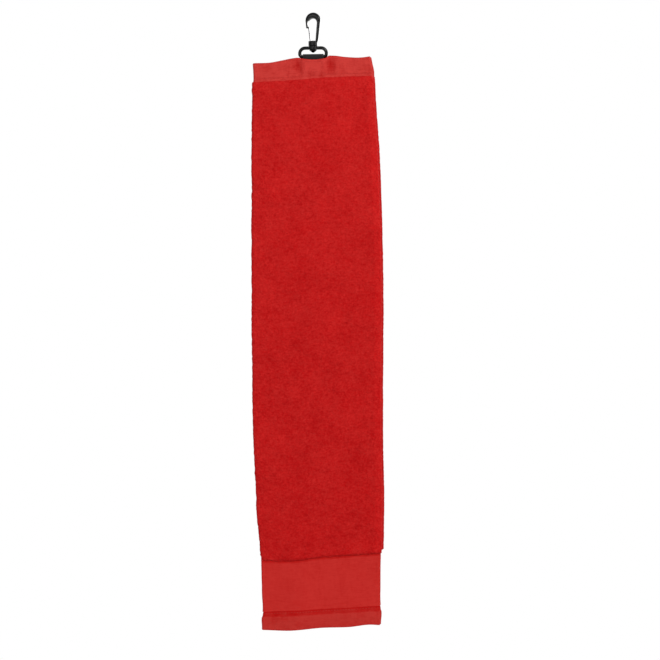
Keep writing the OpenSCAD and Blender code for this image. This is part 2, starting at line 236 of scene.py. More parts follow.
class Leaf:
    """A leaf of the folded cloth, from the fold where it starts to its far end."""

    def __init__(self, name, side, left, right, inset):
        self.name, self.side, self.left, self.right, self.inset = name, side, left, right, inset

    def outline(self, v, half_t):
        """The folds' outermost middle line on the left and on the right."""
        return -(through(self.left, v) - half_t), through(self.right, v) - half_t

    def length(self, v, half_t):
        """Distance along the middle line from the fold where the leaf starts to its far end."""
        left, right = self.outline(v, half_t)
        r = leaf_pitch(PILE_HALF, v) / 2
        turn = math.pi / 2 * r
        if self.name == "centre":
            return 2 * turn + right - left - 2 * r
        return turn + right - left - r - self.inset

    def path(self, s, v, half_t):
        """Middle line in X and Y at distance s from the start, and the direction of its velour face."""
        left, right = self.outline(v, half_t)
        r = leaf_pitch(PILE_HALF, v) / 2
        turn = math.pi / 2 * r
        if self.name == "back":
            phi = np.clip(s / r, 0, math.pi / 2)
            x = right - r + r * np.cos(phi) - np.maximum(s - turn, 0)
            y = r + r * np.sin(phi)
            return x, y, -np.cos(phi), -np.sin(phi)
        first = np.clip(s / r, 0, math.pi / 2)
        run = np.maximum(s - turn, 0)
        if self.name == "front":
            return left + r - r * np.cos(first) + run, -r - r * np.sin(first), -np.cos(first), -np.sin(first)
        last = np.clip((s - self.length(v, half_t) + turn) / r, 0, math.pi / 2)
        run = np.minimum(run, right - left - 2 * r)
        x = left + r - r * np.cos(first) + run + r * np.sin(last)
        y = -r + r * np.sin(first) + r - r * np.cos(last)
        facing = last > 0
        nx = np.where(facing, -np.sin(last), -np.cos(first))
        ny = np.where(facing, np.cos(last), np.sin(first))
        return x, y, nx, ny

    def place(self, s, v, half_t, depth):
        """A point of the leaf, with depth measured from its middle towards the velour face."""
        x, y, nx, ny = self.path(s, v, half_t)
        extra = leaf_pitch(x, v) - leaf_pitch(PILE_HALF, v)
        free = 0
        if self.name != "centre":
            free = smooth((s - self.length(v, half_t) + EDGE_REACH) / EDGE_REACH)
        away = self.side * (extra + free * (EDGE_LIFT + 0.3 * noise(s * 0, v, 70, 21)))
        out_x = x + nx * depth
        out_y = y + ny * depth + away + sway(x, v)
        lift = row_lift(x, v)
        # Under the ring, the leaves behind the front one stay low
        if self.name != "front":
            past_ring = smooth((np.abs(x) - RING_HALF - RING_CLEAR) / 4)
            lift = np.minimum(lift, RING_ROOM + 6 * past_ring + v / 4)
        return out_x, out_y, TOP - v + lift

    def across(self, s, v, half_t):
        """The cloth's own u coordinate, without a jump at the folds."""
        if self.name == "front":
            return s
        if self.name == "centre":
            return -s
        return -CENTRE.length(v, half_t) - s

    def pile_rise(self, f):
        """How much higher the pile ends than on the front, at share f of the way along the leaf."""
        if self.name == "front":
            return RISE_LEFT * (1 - smooth(f * LEAF_W / 4))
        if self.name == "centre":
            return RISE_LEFT + (RISE_RIGHT - RISE_LEFT) * f
        return RISE_RIGHT + (RISE_BACK - RISE_RIGHT) * f


FRONT = Leaf("front", -1, LEFT_PILE, RIGHT_PILE, EDGE_SHORT)
CENTRE = Leaf("centre", 0, LEFT_PILE, RIGHT_PILE, 0)
BACK = Leaf("back", 1, LEFT_PILE, RIGHT_PILE, EDGE_SHORT)
LEAVES = (FRONT, CENTRE, BACK)


def flat(leaf):
    """The same leaf where it is flat woven, which is narrower."""
    return Leaf(leaf.name, leaf.side, LEFT_FLAT, RIGHT_FLAT, EDGE_SHORT)


# ---------- meshes ----------


def mesh(name, points, faces, **values):
    """A mesh from millimetre points, with a number or a vector stored at each point for the materials."""
    data = bpy.data.meshes.new(name)
    faces = faces.tolist() if isinstance(faces, np.ndarray) else faces
    data.from_pydata((np.asarray(points) * MM).tolist(), [], faces)
    for key, value in values.items():
        kind, field = ("FLOAT_VECTOR", "vector") if np.ndim(value) == 2 else ("FLOAT", "value")
        layer = data.attributes.new(key, kind, "POINT")
        layer.data.foreach_set(field, np.asarray(value, np.float32).ravel())
    data.polygons.foreach_set("use_smooth", np.ones(len(data.polygons), bool))
    build = bmesh.new()
    build.from_mesh(data)
    bmesh.ops.recalc_face_normals(build, faces=build.faces)
    build.to_mesh(data)
    build.free()
    obj = bpy.data.objects.new(name, data)
    bpy.context.collection.objects.link(obj)
    return obj


def slab_faces(rows, columns):
    """Quads of a closed slab whose two faces are grids of the same size."""
    i, j = np.meshgrid(np.arange(rows - 1), np.arange(columns - 1), indexing="ij")
    a = (i * columns + j).ravel()
    face = np.stack([a, a + 1, a + columns + 1, a + columns], 1)
    second = rows * columns
    rim = np.concatenate([
        np.arange(columns),
        np.arange(2, rows + 1) * columns - 1,
        rows * columns - 1 - np.arange(1, columns),
        (rows - 2 - np.arange(rows - 1)) * columns,
    ])
    edge = np.stack([rim[:-1], rim[1:], rim[1:] + second, rim[:-1] + second], 1)
    return np.concatenate([face, face[:, ::-1] + second, edge])


def rounded(distance, radius):
    """Share of the full thickness at a distance from an edge that is rounded over."""
    t = np.clip(1 - distance / radius, 0, 1)
    return np.sqrt(np.clip(1 - t * t, 0.004, 1))


def fray(u, seed):
    """An uneven edge, from about -1 to 1."""
    return 0.5 * noise(u, u * 0, 4, seed) + 0.5 * noise(u, u * 0, 1.6, seed + 1)


FOLD_REACH = 9  # the stretch beside a fold that gets closer columns


class Zone:
    """A band of the cloth between two heights, with one thickness and one kind of surface."""

    def __init__(self, name, v_low, v_high, thickness, step, relief, ragged=(0, 0)):
        self.name, self.v_low, self.v_high = name, v_low, v_high
        self.thickness, self.step, self.relief, self.ragged = thickness, step, relief, ragged

    def grid(self, leaf):
        """Shares across the leaf, heights down it, and the distances to the zone's two ends."""
        close = np.arange(0, FOLD_REACH, self.step / 3) / LEAF_W
        rim = np.array([0.25, 0.6, 1.0]) * self.thickness / 2
        f = np.unique(np.concatenate([
            np.linspace(0, 1, int(LEAF_W / self.step)), close, 1 - close, 1 - rim / LEAF_W
        ]))[None, :]
        tall = self.v_high - self.v_low
        share = np.unique(np.concatenate([
            np.linspace(0, 1, int(tall / self.step)), rim / tall, 1 - rim / tall
        ]))[:, None]
        low = self.v_low + self.ragged[0] * fray(f * LEAF_W, 31)
        high = self.v_high + self.ragged[1] * fray(f * LEAF_W, 33)
        if self.name == "pile":
            high = high - leaf.pile_rise(f)
        v = low + (high - low) * share
        return f, v, v - low, high - v

    def surface(self, leaf, s, v, face, above=0.0):
        """A point that far above the cloth's real surface, on one of its faces."""
        velour, looped, _ = self.relief(leaf, s, leaf.across(s, v, self.thickness / 2), v)
        height = velour if face > 0 else looped
        x, y, z = leaf.place(s, v, self.thickness / 2, face * (self.thickness / 2 + height + above))
        return np.stack(np.broadcast_arrays(x, y, z), -1)

    def piece(self, leaf):
        """The closed slab of one leaf in this zone."""
        half = self.thickness / 2
        f, v, from_low, from_high = self.grid(leaf)
        s = f * leaf.length(v, half)
        u = leaf.across(s, v, half)
        edge = rounded(from_low, half) * rounded(from_high, half)
        if leaf.name != "centre":
            edge = edge * rounded((1 - f) * LEAF_W, half)
        velour, looped, shade = self.relief(leaf, s, u, v)
        points, cloth, heights, shades = [], [], [], []
        for face, height in ((1, velour), (-1, looped)):
            depth = face * (half + height) * edge
            x, y, z = np.broadcast_arrays(*leaf.place(s, v, half, depth))
            points.append(np.stack([x, y, z], -1).reshape(-1, 3))
            cloth.append(np.stack(np.broadcast_arrays(u, v, depth), -1).reshape(-1, 3))
            heights.append((height + 0 * x).ravel())
            shades.append((shade + 0 * x).ravel())
        return mesh(
            f"{leaf.name}_{self.name}_cloth",
            np.concatenate(points),
            slab_faces(*x.shape),
            cloth=np.concatenate(cloth) * MM,
            height=np.concatenate(heights),
            shade=np.concatenate(shades),
        )


UNCUT = 15  # height of the loops left uncut at the pile's foot
DRAWN_MIDDLE = 1.5  # x midway between the two places where the box stitch draws the heading in
DRAWN_OUT = 17.5  # how far out from there each of them lies
DRAWN_DOWN = 9  # how far down from the top edge
RIB_PITCH = 2.3  # spacing of the raised weft ribs below the pile
RIB_FADE = 7  # distance over which they die away
HEADING_STITCH = 2.5  # how far above the pile the heading is sewn
HEM_STRIP = 6.6  # the pressed strip below the hem's upper edge
HEM_STITCH = 2.3  # how far below that edge the hem is sewn
HEM_ROLL = 11  # how far below that edge the hem is fullest
SEAM_END = 2  # how far a hem's row of stitches stops short of the leaf's ends


def pile_relief(leaf, s, u, v):
    """Cut velour on one face and looped terry on the other, with painted shade at the pile's ends and a
    painted highlight along the side hem.
    """
    brushed = 0.30 * noise(u, v, 26, 41) + 0.22 * noise(u, v, 9, 42)
    grain = 0.24 * noise(0.6 * u, v, 3.0, 43) + 0.18 * noise(u, v, 1.8, 44)
    uncut = smooth((v - V_BORDER + UNCUT) / 8)
    velour = brushed * smooth((v - V_PILE) / 10) + grain + uncut * (0.9 * tufts(u, v, 2.4, 47) - 0.5)
    looped = 0.6 * tufts(u, v, 2.6, 45) - 0.4 + 0.15 * noise(u, v, 14, 46)
    # Painted shade: darker at the pile's foot, where it overhangs the border, and a little just below the
    # heading
    shade = 1 - 0.13 * smooth((v - V_BORDER + 3.5) / 2.5) - 0.05 * smooth((V_PILE + 3 - v) / 3) + 0 * s
    if leaf is not CENTRE:
        # Along the side hem the pile swells up and is painted lighter, a painted highlight
        swell_and_highlight = smooth((s - leaf.length(v, PILE_T / 2) + SIDE_HEM) / 2.5)
        velour = velour + 0.2 * swell_and_highlight
        shade = shade + 0.05 * swell_and_highlight
    return velour, looped, shade


def heading_relief(leaf, s, u, v):
    """Flat weave, drawn in by the box stitch beside the tape, with painted shade and painted light in its
    shade value.
    """
    x = leaf.path(s, v, HEM_T / 2)[0]
    beside = hump(np.abs(x - DRAWN_MIDDLE), DRAWN_OUT, 5) * hump(v, DRAWN_DOWN, 6.5)
    gathers = noise(x, v * 0.25, 4.2, 51) * np.exp(-(((x - 2) / 24) ** 4)) * smooth(v / 4)
    press = hump(v, V_PILE - HEADING_STITCH, 1.1)
    height = 0.12 * noise(x, v, 8, 52) - 0.8 * beside + 0.28 * gathers - 0.12 * press
    over_tape = smooth((TAPE_HALF - np.abs(x)) / 4) * smooth((TAPE_SEWN - v) / 3)
    rim = smooth((1.4 - v) / 1.0)
    # Painted shade in the drawn-in dips beside the tape, in the stitch groove and along the top rim; painted
    # light over the tape and on the gathers' ridges
    shade = 1 - 0.17 * beside + 0.03 * over_tape - 0.03 * press + 0.07 * gathers - 0.12 * rim
    return height, height * 0.6, shade + 0.04 * noise(x, v, 7, 53)


def border_relief(leaf, s, u, v):
    """Flat weave with a few raised weft ribs under the pile, a painted shadow under the pile's end and
    painted light on the ribs.
    """
    ribs = np.sin(2 * math.pi * (v - V_BORDER) / RIB_PITCH) * np.exp(-np.abs(v - V_BORDER) / RIB_FADE)
    cross = 0.10 * noise(u, v, 11, 61) + 0.05 * noise(u, v, 4, 62)
    height = 0.14 * ribs + cross
    under_pile = smooth((V_BORDER + 3.2 - v) / 3)
    # The third value paints a shadow under the pile's end and light on the raised ribs
    return height, height, 1 - 0.2 * under_pile + 0.03 * ribs


def hem_relief(leaf, s, u, v):
    """Flat weave turned up and sewn: a step, a pressed strip and a soft roll, with painted shade in the
    step, on the strip and along the foot.
    """
    step = hump(v, V_HEM + 0.6, 0.9)
    strip = smooth((v - V_HEM) / 1.0) * smooth((V_HEM + HEM_STRIP - v) / 1.2)
    pucker = noise(u, v, 6, 71) * np.exp(-np.maximum(v - V_HEM - HEM_STRIP, 0) / 7)
    roll = 0.35 * hump(v, V_HEM + HEM_ROLL, 5)
    height = 0.10 * noise(u, v, 9, 72) - 0.55 * strip - 0.3 * step + 0.2 * pucker + roll
    foot = smooth((v - V_END + 1.6) / 1.2)
    # The third value paints shade in the step's groove, on the sunken strip and along the bottom edge, and
    # light on the puckers
    return height, height, 1 - 0.12 * step - 0.17 * strip - 0.08 * foot + 0.06 * pucker


UNDER = 2.5  # how far the heading runs on under the pile
UNDER_END = 10  # how far the border runs on under the pile's uneven end
OVER_HEM = 0.5  # how far the border runs on over the hem's upper edge
BOTTOM_HEM_T = 0.85 * HEM_T  # the bottom hem is pressed flatter than the heading

ZONES = {
    "heading": Zone("heading", 0, V_PILE + UNDER, HEM_T, 0.7, heading_relief),
    "pile": Zone("pile", V_PILE, V_BORDER, PILE_T, 1.3, pile_relief, ragged=(0.35, 0.7)),
    "border": Zone("border", V_BORDER - UNDER_END, V_HEM + OVER_HEM, BORDER_T, 0.75, border_relief),
    "bottom_hem": Zone("bottom_hem", V_HEM, V_END, BOTTOM_HEM_T, 0.7, hem_relief),
}

# ---------- side hems, tape and thread ----------

TURNED_T = {"pile": 1.3, "border": 0.7}  # thickness of the turned strip along a free edge
STRIP_ENDS = (2, 4)  # how far the strip stops short of its zone's upper and lower end
STRIP_SUNK = 0.5  # how deep the strip's lower face lies in the cloth
SEAM_IN = 1.3  # how far in on the strip its seam runs
SEAM_ENDS = (4, 6)  # how far that seam stops short of the pile's upper and lower end


def side_hem(leaf, zone):
    """The strip turned to the looped face along a free edge, a thin slab that lies on the cloth."""
    half, thick = zone.thickness / 2, TURNED_T[zone.name]
    across = np.linspace(0, 1, 12)[None, :]
    v = np.arange(zone.v_low + STRIP_ENDS[0], zone.v_high - STRIP_ENDS[1], 1.0)[:, None]
    length = leaf.length(v, half)
    inner = SIDE_HEM + 0.35 * noise(v, v * 0, 12, 81)
    s = length - inner + across * (inner - 0.2)
    edge = rounded(across * SIDE_HEM, thick / 2) * rounded((1 - across) * SIDE_HEM, thick / 2)
    sewn = -0.35 * hump(across, 0.12, 0.08)
    lumps = 0.12 * noise(s, v, 5, 82) + 0.08 * noise(s, v, 2, 83)
    points, cloth = [], []
    for outer in (1, 0):
        rise = thick * (1 + sewn) + lumps if outer else -STRIP_SUNK
        depth = -(half + rise * edge)
        x, y, z = np.broadcast_arrays(*leaf.place(s, v, half, depth))
        points.append(np.stack([x, y, z], -1).reshape(-1, 3))
        cloth.append(np.stack(np.broadcast_arrays(s, v, depth), -1).reshape(-1, 3))
    count = 2 * x.size
    return mesh(
        f"{leaf.name}_{zone.name}_side_hem_cloth",
        np.concatenate(points),
        slab_faces(*x.shape),
        cloth=np.concatenate(cloth) * MM,
        height=np.zeros(count),
        shade=np.ones(count),
    )


THREAD_R = 0.24
STITCH_PITCH = 3.0  # from one stitch to the next
STITCH_L = 2.3  # the part of a stitch that shows
THREAD_SIDES = 6
THREAD_SUNK = 1.1  # how deep a stitch's ends lie, in thread radii
THREAD_RISE = 1.5  # how far its middle comes up from there, in thread radii


def thread_mesh(name, rows):
    """Short threads that rise out of the cloth and dive back. Each row is a place() and its length."""
    points, faces = [], []
    turn = np.arange(THREAD_SIDES) / THREAD_SIDES * 2 * math.pi
    for place, length in rows:
        for start in np.arange(0.6, length - STITCH_L, STITCH_PITCH):
            t = np.linspace(0, 1, 8)
            sunk = THREAD_R * (THREAD_RISE * np.sin(math.pi * t) ** 0.6 - THREAD_SUNK)
            line = place(start + t * STITCH_L, sunk)
            along = np.gradient(line, axis=0)
            along /= np.linalg.norm(along, axis=1, keepdims=True)
            out = np.cross(along, (0, 1, 0))
            out /= np.linalg.norm(out, axis=1, keepdims=True)
            up = np.cross(out, along)
            first = len(points) * THREAD_SIDES
            for centre, a, b, taper in zip(line, out, up, np.clip(4 * t * (1 - t) + 0.35, 0, 1)):
                ring = np.outer(np.cos(turn), a) + np.outer(np.sin(turn), b)
                points.append(centre + THREAD_R * taper * ring)
            for i in range(len(t) - 1):
                for j in range(THREAD_SIDES):
                    k = (j + 1) % THREAD_SIDES
                    low, high = first + i * THREAD_SIDES, first + (i + 1) * THREAD_SIDES
                    faces.append((low + j, low + k, high + k, high + j))
            faces.append(tuple(first + j for j in range(THREAD_SIDES)))
            faces.append(tuple(first + (len(t) - 1) * THREAD_SIDES + j for j in range(THREAD_SIDES)))
    points = np.concatenate(points)
    return mesh(name, points, faces, cloth=points * MM)


def seam_across(zone, leaf, face, v, s_low, s_high):
    """A row of stitches along the weft."""
    return lambda d, above: zone.surface(leaf, s_low + d, v + 0 * d, face, above), s_high - s_low


def seam_down(zone, leaf, face, s_of_v, v_low, v_high):
    """A row of stitches along the warp."""
    return lambda d, above: zone.surface(leaf, s_of_v(v_low + d), v_low + d, face, above), v_high - v_low


def s_at_x(leaf, x, v, half):
    """Distance along a leaf to the place that has this x."""
    left, right = leaf.outline(v, half)
    r = leaf_pitch(PILE_HALF, v) / 2
    first = math.pi / 2 * r
    return first + (x - left - r if leaf.name != "back" else right - r - x)


def outer_face(leaf):
    """The face that looks out at rest: velour on the front leaf, loops on the back one."""
    return -1 if leaf.name == "back" else 1


def box_rows(leaf):
    """The square of stitches that sews the tape in, on one outer heading."""
    zone, half = ZONES["heading"], HEM_T / 2
    face = outer_face(leaf)
    high, low = TOP - BOX_HIGH[2], TOP - BOX_LOW[2]
    rows = []
    for v in (high, low):
        a, b = sorted(float(s_at_x(leaf, x, v, half)) for x in (BOX_LOW[0], BOX_HIGH[0]))
        rows.append(seam_across(zone, leaf, face, v, a, b))
    for x in (BOX_LOW[0], BOX_HIGH[0]):
        rows.append(seam_down(zone, leaf, face, lambda v, x=x: s_at_x(leaf, x, v, half), high, low))
    return rows


def hem_row(leaf, zone_name, v):
    """A hem's row of stitches, from fold to fold."""
    far = float(leaf.length(v, HEM_T / 2))
    return seam_across(ZONES[zone_name], leaf, outer_face(leaf), v, SEAM_END, far - SEAM_END)


def heading_row(leaf):
    """The stitches above the pile."""
    return hem_row(leaf, "heading", V_PILE - HEADING_STITCH)


def bottom_row(leaf):
    """The stitches of the bottom hem, on its pressed strip."""
    return hem_row(leaf, "bottom_hem", V_HEM + HEM_STITCH)


def side_row(leaf):
    """The seam that holds the turned strip, on the strip itself."""
    zone = ZONES["pile"]
    half = zone.thickness / 2
    on_strip = half + 0.72 * TURNED_T["pile"]

    def place(d, above):
        v = zone.v_low + SEAM_ENDS[0] + d
        s = leaf.length(v, half) - SIDE_HEM + SEAM_IN
        return np.stack(np.broadcast_arrays(*leaf.place(s, v, half, -(on_strip + above))), -1)

    return place, zone.v_high - zone.v_low - sum(SEAM_ENDS)


TAPE_GAP = 0.06  # air between the tape's legs and the headings
BAR_GAP = 0.12  # air between the tape's loop and the ring's bar
TAPE_NECK = 4.4  # how far below the bar the two legs have come together
TAPE_RIB = 1.33  # spacing of the ribs that run along the tape


def tape_mesh():
    """The tape's loop over the ring's bar and its two legs between the headings, with a woven relief."""
    leg_y = HEM_T / 2 + TAPE_T / 2 + TAPE_GAP
    turn_r = RING_R + BAR_GAP + TAPE_T / 2
    foot = BAR_Z - (TOP - TAPE_SEWN)
    leg = np.linspace(foot, TAPE_NECK, 22)
    bend = smooth(np.linspace(0, 1, 10)[1:])
    down = np.linspace(TAPE_NECK, 0, 10)[1:]
    arc = np.linspace(0, math.pi, 25)[1:-1]
    y = np.concatenate([-leg_y + 0 * leg, -leg_y - (turn_r - leg_y) * bend, -turn_r * np.cos(arc)])
    z = np.concatenate([-leg, -down, turn_r * np.sin(arc)])
    side = len(leg) + len(down)
    y = np.concatenate([y, -y[:side][::-1]])
    z = np.concatenate([z, z[:side][::-1]])
    line = np.stack([y, z], 1)
    along = np.gradient(line, axis=0)
    along /= np.linalg.norm(along, axis=1, keepdims=True)
    normal = np.stack([-along[:, 1], along[:, 0]], 1)
    far = np.concatenate([[0], np.cumsum(np.linalg.norm(np.diff(line, axis=0), axis=1))])[:, None]
    x = np.linspace(-TAPE_HALF, TAPE_HALF, 67)[None, :]
    edge = rounded(TAPE_HALF - np.abs(x), TAPE_T / 2)
    rib = 0.06 * np.sin(x * 2 * math.pi / TAPE_RIB) + 0.05 * noise(x, far, 1.1, 91)
    points, cloth = [], []
    for face in (1, -1):
        depth = face * (TAPE_T / 2 + rib - 0.05) * edge
        py = y[:, None] + normal[:, :1] * depth
        pz = BAR_Z + z[:, None] + normal[:, 1:] * depth
        px = x + 0 * py
        sunk = np.maximum(TOP - pz, 0)
        points.append(np.stack([px, py + sway(px, sunk), pz], -1).reshape(-1, 3))
        cloth.append(np.stack(np.broadcast_arrays(px, far, depth), -1).reshape(-1, 3))
    faces = slab_faces(*px.shape)
    return mesh("hanging_tape_woven", np.concatenate(points), faces, cloth=np.concatenate(cloth) * MM)


# ---------- materials ----------

# Dyes, as screen values from 0 to 255
THREAD_RED = (170, 40, 36)
# The pile's roots and tips; the mix between them also carries painted light, paler at the top and darker at
# the foot
PILE_ROOT = (163, 11, 13)
PILE_TIP = (183, 33, 31)
BORDER_RED = (175, 38, 34)
HEADING_RED = (176, 50, 45)
HEM_RED = (168, 41, 36)
# The same weaves in a deeper red, which their uneven tone reaches and where shade is painted in: the hem's
# pressed strip, the dips beside the tape, the border under the pile
BORDER_MOTTLE_AND_SHADE = (164, 12, 10)
HEADING_MOTTLE_AND_SHADE = (150, 15, 13)
HEM_MOTTLE_AND_SHADE = (162, 13, 11)
# Blacks, as linear colours
PLASTIC_BLACK = (0.002, 0.002, 0.0023, 1)
TAPE_BLACK = (0.008, 0.008, 0.009, 1)

WEAVE_PITCH = 1.1  # spacing of the warp threads that the eye picks out
WEFT_CLOSER = 1.25  # how much closer the weft threads lie
TAPE_WARP, TAPE_WEFT = 0.9, 0.7  # spacing of the tape's threads


class Nodes:
    """A short way to write a node tree."""

    def __init__(self, name):
        self.material = bpy.data.materials.new(name)
        self.material.use_nodes = True
        self.tree = self.material.node_tree
        self.shader = self.tree.nodes["Principled BSDF"]

    def add(self, kind, inputs=None, **settings):
        """A new node with its inputs filled."""
        node = self.tree.nodes.new("ShaderNode" + kind)
        for key, value in settings.items():
            setattr(node, key, value)
        for key, value in (inputs or {}).items():
            self.put(node, key, value)
        return node

    def put(self, node, key, value):
        """Fill an input with another node's output or with a plain value."""
        if isinstance(value, bpy.types.NodeSocket):
            self.tree.links.new(value, node.inputs[key])
        else:
            node.inputs[key].default_value = value

    def attribute(self, name):
        return self.add("Attribute", attribute_name=name)

    def math(self, operation, a, b=0.0):
        return self.add("Math", {0: a, 1: b}, operation=operation).outputs[0]

    def span(self, value, low, high, to_low, to_high):
        """A value moved from one range to another, and held inside it."""
        inputs = {"Value": value, "From Min": low, "From Max": high, "To Min": to_low, "To Max": to_high}
        return self.add("MapRange", inputs).outputs[0]

    def noise(self, at, size, detail=2.0):
        """Noise from 0 to 1 with features of about that size in millimetres."""
        inputs = {"Vector": at, "Scale": 1 / (size * MM), "Detail": detail, "Roughness": 0.6}
        return self.add("TexNoise", inputs).outputs["Fac"]

    def scaled(self, colour, factor):
        """A colour made lighter or darker by a number."""
        grey = self.add("CombineColor", {"Red": factor, "Green": factor, "Blue": factor}).outputs[0]
        mix = self.add("Mix", data_type="RGBA", blend_type="MULTIPLY")
        self.put(mix, 0, 1.0)
        self.put(mix, 6, colour)
        self.put(mix, 7, grey)
        return mix.outputs[2]


def red(r, g, b):
    """Linear colour of a dye given in screen values from 0 to 255."""
    def linear(c):
        c = c / 255
        return c / 12.92 if c <= 0.04045 else ((c + 0.055) / 1.055) ** 2.4
    return (linear(r), linear(g), linear(b), 1)


def velour_material():
    """Sheared pile: tufts that lie to either side show darker roots or paler tips. Painted light makes it
    paler at the top and darker towards the foot, and painted shade darkens its hollows and the places that
    the shade attribute marks.
    """
    n = Nodes("velour_terry")
    cloth = n.attribute("cloth").outputs["Vector"]
    height = n.attribute("height").outputs["Fac"]
    shade = n.attribute("shade").outputs["Fac"]
    lay = n.span(n.noise(cloth, 30, 3), 0.3, 0.7, -0.05, 0.05)
    parts = n.add("SeparateXYZ", {0: cloth})
    # Paler at the top and darker towards the pile's foot: painted light falling from above
    painted_light_falloff = n.span(parts.outputs[1], V_PILE * MM, V_BORDER * MM, 0.01, -0.04)
    brushed = n.add("Mapping", {"Vector": cloth, "Scale": (0.7, 1.0, 1.0)}).outputs[0]
    wales = n.add("Mapping", {"Vector": cloth, "Scale": (1.0, 0.3, 1.0)}).outputs[0]
    clump = n.math("MULTIPLY", n.noise(brushed, 4.2, 2), 0.6)
    clump = n.math("ADD", clump, n.math("MULTIPLY", n.noise(wales, 1.9, 2), 0.4))
    tuft = n.noise(brushed, 1.9, 2)
    tips_up = n.math("ADD", n.math("MULTIPLY", clump, 0.5), n.math("MULTIPLY", tuft, 0.5))
    pale = n.span(n.math("ADD", tips_up, n.math("ADD", lay, painted_light_falloff)), 0.36, 0.66, 0, 1)
    mix = n.add("Mix", data_type="RGBA")
    n.put(mix, 0, pale)
    n.put(mix, 6, red(*PILE_ROOT))
    n.put(mix, 7, red(*PILE_TIP))
    fibre = n.span(n.noise(cloth, 0.5, 2), 0.2, 0.8, 0.93, 1.07)
    # Darker in the pile's hollows and lighter on its tops: painted shade taken from the relief's height
    hollow_shade = n.span(height, -0.6, 0.6, 0.91, 1.05)
    tone = n.math("MULTIPLY", fibre, n.math("MULTIPLY", hollow_shade, shade))
    n.put(n.shader, "Base Color", n.scaled(mix.outputs[2], tone))
    n.put(n.shader, "Roughness", 0.95)
    n.put(n.shader, "Sheen Weight", 0.08)
    n.put(n.shader, "Sheen Roughness", 0.45)
    n.put(n.shader, "Sheen Tint", (1.0, 0.25, 0.2, 1))
    n.put(n.shader, "Specular IOR Level", 0.05)
    tips = n.add("TexVoronoi", {"Vector": cloth, "Scale": 1 / (0.9 * MM), "Randomness": 1.0})
    rough = n.math("ADD", n.math("MULTIPLY", tips.outputs["Distance"], 0.6), n.noise(cloth, 0.45, 3))
    rough = n.math("ADD", rough, n.math("MULTIPLY", tuft, 1.2))
    bump = n.add("Bump", {"Height": rough, "Strength": 0.8, "Distance": 0.0006})
    n.put(n.shader, "Normal", bump.outputs[0])
    return n.material


def weave_material(name, colour, deep, uneven):
    """Plain weave: warp and weft threads cross, with slubs in the weft. Uneven tone and painted shade mix it
    towards a deeper red.
    """
    n = Nodes(name)
    cloth = n.attribute("cloth").outputs["Vector"]
    shade = n.attribute("shade").outputs["Fac"]
    parts = n.add("SeparateXYZ", {0: cloth})
    turn = 2 * math.pi / (WEAVE_PITCH * MM)
    warp = n.math("SINE", n.math("MULTIPLY", parts.outputs[0], turn))
    weft = n.math("SINE", n.math("MULTIPLY", parts.outputs[1], turn * WEFT_CLOSER))
    woven = n.math("MULTIPLY", warp, weft)
    ribs = n.math("MULTIPLY", weft, 0.6)
    slub_at = n.add("Mapping", {"Vector": cloth, "Scale": (0.12, 1.0, 1.0)}).outputs[0]
    slub = n.noise(slub_at, 0.9, 2)
    end_at = n.add("Mapping", {"Vector": cloth, "Scale": (1.0, 0.2, 1.0)}).outputs[0]
    end = n.noise(end_at, 2.6, 2)
    broad = n.span(n.noise(cloth, 16, 3), 0.3, 0.7, 0.965, 1.035)
    blotch = n.span(n.noise(cloth, 3.5, 3), 0.3, 0.7, 1 - uneven, 1 + uneven)
    tone = n.math("MULTIPLY", n.span(slub, 0.25, 0.75, 0.94, 1.06), n.math("MULTIPLY", broad, blotch))
    tone = n.math("MULTIPLY", tone, n.span(end, 0.3, 0.7, 1 - uneven, 1 + uneven))
    tone = n.math("MULTIPLY", tone, n.span(woven, -1, 1, 0.96, 1.03))
    # Towards the deeper red where the tone is low, and where the shade attribute paints shade
    dye_and_shade = n.add("Mix", data_type="RGBA")
    n.put(dye_and_shade, 0, n.span(n.math("MULTIPLY", shade, tone), 0.78, 1.02, 0, 1))
    n.put(dye_and_shade, 6, red(*deep))
    n.put(dye_and_shade, 7, red(*colour))
    n.put(n.shader, "Base Color", n.scaled(dye_and_shade.outputs[2], n.span(tone, 0.8, 1.2, 0.92, 1.08)))
    n.put(n.shader, "Roughness", 0.9)
    n.put(n.shader, "Sheen Weight", 0.04)
    n.put(n.shader, "Sheen Roughness", 0.5)
    n.put(n.shader, "Sheen Tint", (1.0, 0.35, 0.3, 1))
    n.put(n.shader, "Specular IOR Level", 0.06)
    relief = n.math("ADD", n.math("ADD", woven, ribs), n.math("MULTIPLY", slub, 1.5))
    bump = n.add("Bump", {"Height": relief, "Strength": 0.4, "Distance": 0.00018})
    n.put(n.shader, "Normal", bump.outputs[0])
    return n.material


def plastic_material():
    n = Nodes("black_acetal")
    at = n.add("TexCoord").outputs["Object"]
    cloud = n.noise(at, 6, 3)
    fine = n.noise(at, 0.35, 2)
    tone = n.span(cloud, 0.3, 0.7, 0.9, 1.15)
    n.put(n.shader, "Base Color", n.scaled(PLASTIC_BLACK, tone))
    n.put(n.shader, "Roughness", n.span(cloud, 0.3, 0.7, 0.18, 0.28))
    n.put(n.shader, "IOR", 1.48)
    n.put(n.shader, "Specular IOR Level", 0.22)
    bump = n.add("Bump", {"Height": fine, "Strength": 0.12, "Distance": 0.00005})
    n.put(n.shader, "Normal", bump.outputs[0])
    return n.material


